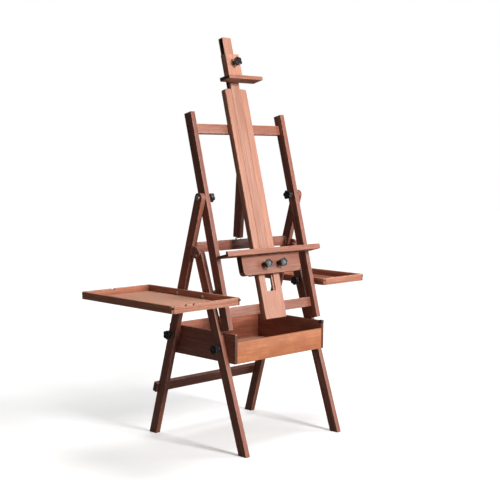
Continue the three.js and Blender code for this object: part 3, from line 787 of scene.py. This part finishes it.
def washer_pattern(radius, thickness):
    deselect_all()
    bpy.ops.mesh.primitive_cylinder_add(
        vertices=28, radius=radius, depth=thickness, end_fill_type="NGON",
        location=(0, 0, thickness / 2))
    washer = bpy.context.object
    bpy.ops.object.transform_apply()
    bpy.ops.object.mode_set(mode="EDIT")
    select_in(washer, lambda face: face.normal.z > 0.9)
    bpy.ops.mesh.inset(thickness=radius * 0.35)
    bpy.ops.transform.translate(value=(0, 0, thickness * 0.2))
    bpy.ops.object.mode_set(mode="OBJECT")
    apply_modifier(washer, "BEVEL", width=thickness * 0.3, segments=2, limit_method="ANGLE",
                   angle_limit=math.radians(40))
    smooth(washer, 35)
    return washer


def make_bolts():
    """The hinge, tilt and rear tray bolts: a head, a threaded shank, and a nut on the hinge bolts."""
    heads = {"hinge": bolt_head_pattern(0.0062, 0.0034, 0.0022),
             "tilt": bolt_head_pattern(0.009, 0.0032)}
    nut = hex_nut_pattern(0.0075, 0.0062)
    for hand, side in HANDS:
        outwards = Vector((side, 0, 0))
        for place in ("hinge", "tilt"):
            node = f"{place}_bolt_{hand}"
            axis_point = middle(node)
            outside = reach(node, outwards) - DOMED_HEAD
            seat = axis_point + outwards * (outside - axis_point.dot(outwards))
            shown = place_copy(heads[place], f"{node}_head", seat, outwards, 0.3)
            settle(shown, BODY_OF[node], ZINC_STEEL, (node,))
            length = outside + reach(node, -outwards)
            add_stud(f"{node}_shank", BODY_OF[node], seat, outwards, length)
            if place == "hinge":
                inner = seat - outwards * (length - 0.0022)
                lock = place_copy(nut, f"{node}_nut", inner, outwards, 0.2)
                settle(lock, BODY_OF[node], BLACK_STEEL)
        node = f"tray_bolt_rear_{hand}"
        face = reach(node, -outwards) - HEX_HEAD
        seat = on_face(node, -outwards) + outwards * HEX_HEAD
        lock = place_copy(nut, f"{node}_head", seat, -outwards, 0.5)
        settle(lock, BODY_OF[node], BLACK_STEEL, (node,))
        length = reach(node, outwards) + face
        add_stud(f"{node}_shank", BODY_OF[node], seat, -outwards, length)
    for pattern in (*heads.values(), nut):
        bpy.data.objects.remove(pattern)


def wood_screw_pattern(radius=0.0038):
    """A countersunk screw head sunk level with z = 0, with a cross recess."""
    deselect_all()
    bpy.ops.mesh.primitive_cone_add(
        vertices=20, radius1=radius * 0.5, radius2=radius, depth=0.0024,
        location=(0, 0, -0.0009))
    screw = bpy.context.object
    bpy.ops.object.transform_apply()
    apply_modifier(screw, "BEVEL", width=0.0003, segments=2, limit_method="ANGLE",
                   angle_limit=math.radians(40))
    for turn in (0, math.pi / 2):
        deselect_all()
        bpy.ops.mesh.primitive_cube_add(size=1, location=(0, 0, 0.0002), rotation=(0, 0, turn))
        blade = bpy.context.object
        blade.scale = (radius * 1.15, radius * 0.24, 0.0018)
        bpy.ops.object.transform_apply()
        apply_modifier(screw, "BOOLEAN", object=blade, operation="DIFFERENCE")
        bpy.data.objects.remove(blade)
    smooth(screw, 30)
    return screw


def screw_places():
    """Where the boards are screwed: (name, node it belongs to, point, facing)."""
    places = []
    for hand, side in HANDS:
        outwards = Vector((side, 0, 0))
        for bar in ("top_crossbar", "bottom_crossbar"):
            for row in (-1, 1):
                shift = MAST_UP * (CROSSBAR_SCREW_ROW * row)
                point = on_face(f"stile_{hand}", outwards)
                seat = middle(bar) + shift
                point = Vector((point.x, seat.y, seat.z))
                places.append((f"{bar}_screw_{hand}_{row + 2}", f"stile_{hand}", point, outwards))
            seat = middle(bar) + Vector((side * MAST_SCREW_OUT, 0, 0))
            seat += MAST_BACK * (reach(bar, MAST_BACK) - seat.dot(MAST_BACK))
            places.append((f"{bar}_mast_screw_{hand}", bar, seat, MAST_BACK))
        leg_face = on_face(f"rear_leg_{hand}", outwards).x
        rail = middle("mid_rear_rail")
        places.append((f"mid_rail_screw_{hand}", f"rear_leg_{hand}",
                       Vector((leg_face, rail.y, rail.z)), outwards))
        low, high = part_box(f"box_side_{hand}")
        panel_face = on_face(f"box_side_{hand}", outwards).x
        for end, y in (("front", low[1] + BOX_SCREW_IN), ("back", high[1] - BOX_SCREW_IN)):
            for level, share in BOX_SCREW_LEVELS:
                z = low[2] + share * (high[2] - low[2])
                places.append((f"box_{end}_{level}_screw_{hand}", f"box_side_{hand}",
                               Vector((panel_face, y, z)), outwards))
        for row in (-1, 1):
            shift = MAST_UP * (CARRIAGE_SCREW_ROW * row) + Vector((side * CARRIAGE_SCREW_OUT, 0, 0))
            plate = middle("carriage_back_plate") + shift
            plate += MAST_BACK * (reach("carriage_back_plate", MAST_BACK) - plate.dot(MAST_BACK))
            places.append((f"carriage_screw_{hand}_{row + 2}", "carriage_back_plate",
                           plate, MAST_BACK))
    return places


def make_screws():
    pattern = wood_screw_pattern()
    for number, (name, node, point, facing) in enumerate(screw_places()):
        screw = place_copy(pattern, name, point, facing, number * 0.9)
        settle(screw, BODY_OF[node], BLACK_STEEL)
    bpy.data.objects.remove(pattern)


def make_tray_hardware():
    """Threaded inserts and stud ends inside each tray, and the screws or buttons at its corners."""
    insert = washer_pattern(0.0072, 0.0014)
    tip = bolt_head_pattern(0.0040, 0.0022, 0.0015)
    button = bolt_head_pattern(0.0046, 0.0026, 0.0015)
    button.name = "button"
    screw = wood_screw_pattern(0.0030)
    screw.name = "screw"
    for hand, side in HANDS:
        into_tray = Vector((side, 0, 0))
        inner = f"{hand}_tray_inner_rail"
        front = Vector(JOINTS[f"tray_knob_front_{hand}_spin"]["pos_m"])
        for end, centre in (("rear", middle(f"tray_bolt_rear_{hand}")), ("front", front)):
            face = reach(inner, into_tray)
            point = Vector((face * side, centre.y, centre.z))
            for part, pattern, lift in (("insert", insert, 0), ("stud_end", tip, 0.0012)):
                made = place_copy(pattern, f"{hand}_tray_{end}_{part}", point + into_tray * lift,
                                  into_tray)
                settle(made, BODY_OF[inner], ZINC_STEEL)
        # Only the large tray has buttons over its front corner screws; elsewhere the screws show
        for rail, facing in (("front", Vector((0, -1, 0))), ("back", Vector((0, 1, 0)))):
            cover = button if (hand, rail) == ("left", "front") else screw
            for edge in ("outer", "inner"):
                side_rail = f"{hand}_tray_{edge}_rail"
                low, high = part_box(side_rail)
                y = low[1] if rail == "front" else high[1]
                point = Vector(((low[0] + high[0]) / 2, y, high[2] - TRAY_SCREW_DROP))
                point.x += (TRAY_SCREW_OUT if edge == "inner" else -TRAY_SCREW_OUT) * -side
                made = place_copy(cover, f"{hand}_tray_{rail}_{edge}_{cover.name}",
                                  point - facing * TRAY_SCREW_SINK, facing)
                if cover is button:
                    settle(made, BODY_OF[side_rail], BLACK_PLASTIC)
                else:
                    settle(made, BODY_OF[side_rail], BLACK_STEEL)
    for pattern in (insert, tip, button, screw):
        bpy.data.objects.remove(pattern)


def make_box_corner_block():
    """A small black block with a raised top on the box's front corner, by the right-hand side panel.
    """
    deselect_all()
    low, high = (Vector(corner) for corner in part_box("box_side_right"))
    bpy.ops.mesh.primitive_cube_add(size=1, location=(
        (low.x + high.x) / 2, low.y + 0.0075, high.z - 0.0035))
    dark_block = bpy.context.object
    dark_block.name = "box_corner_catch"
    dark_block.scale = (high.x - low.x + 0.0030, 0.0160, 0.0100)
    bpy.ops.object.transform_apply()
    bpy.ops.object.mode_set(mode="EDIT")
    select_in(dark_block, lambda face: face.normal.z > 0.9)
    bpy.ops.mesh.inset(thickness=0.0022)
    bpy.ops.transform.translate(value=(0, 0, 0.0012))
    bpy.ops.object.mode_set(mode="OBJECT")
    apply_modifier(dark_block, "BEVEL", width=0.0009, segments=3, limit_method="ANGLE",
                   angle_limit=math.radians(25))
    smooth(dark_block, 40)
    settle(dark_block, BODY_OF["box_side_right"], BLACK_PLASTIC)


def make_strut_hinge():
    """A steel butt hinge: a leaf on the back of the middle rail and knuckles round a pin."""
    node = "strut_hinge"
    low, high = (Vector(corner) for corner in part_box(node))
    deselect_all()
    leaf_thick = 0.002
    rail_face = low.y + 0.0003
    pin = Vector(JOINTS["strut_swing"]["pos_m"])
    bpy.ops.mesh.primitive_cube_add(size=1, location=(
        (low.x + high.x) / 2, rail_face + leaf_thick / 2, (low.z + pin.z) / 2))
    leaf = bpy.context.object
    leaf.scale = (high.x - low.x, leaf_thick, pin.z - low.z)
    bpy.ops.object.transform_apply()
    apply_modifier(leaf, "BEVEL", width=0.0006, segments=3, limit_method="ANGLE")
    knuckles = 5
    width = (high.x - low.x) / knuckles
    for i in range(knuckles):
        deselect_all()
        bpy.ops.mesh.primitive_cylinder_add(
            vertices=24, radius=0.003, depth=width - 0.0004, end_fill_type="NGON",
            location=(low.x + width * (i + 0.5), pin.y, pin.z), rotation=(0, math.pi / 2, 0))
        knuckle = bpy.context.object
        bpy.ops.object.transform_apply()
        apply_modifier(knuckle, "BEVEL", width=0.0004, segments=2, limit_method="ANGLE")
        work_on(knuckle)
        leaf.select_set(True)
        bpy.context.view_layer.objects.active = leaf
        bpy.ops.object.join()
    leaf.name = "strut_hinge_leaf"
    smooth(leaf, 35)
    settle(leaf, BODY_OF[node], ZINC_STEEL, (node,))
    pattern = wood_screw_pattern(0.0030)
    for i, (x, z) in enumerate(((-0.008, 0.008), (0.008, 0.008), (0.0, 0.019))):
        point = Vector(((low.x + high.x) / 2 + x, rail_face + leaf_thick, low.z + z))
        screw = place_copy(pattern, f"strut_hinge_screw_{i + 1}", point, (0, 1, 0), i)
        settle(screw, BODY_OF[node], BLACK_STEEL)
    bpy.data.objects.remove(pattern)


def make_floor():
    deselect_all()
    bpy.ops.mesh.primitive_grid_add(x_subdivisions=4, y_subdivisions=4, size=30, location=(0, 0, 0))
    floor = bpy.context.object
    floor.name = "studio_floor"
    bpy.ops.object.transform_apply()
    floor.data.materials.append(floor_paint())


set_camera()
set_lights()
set_surroundings()
make_boards()
make_knobs()
make_bolts()
make_screws()
make_tray_hardware()
make_box_corner_block()
make_strut_hinge()
make_floor()
deselect_all()
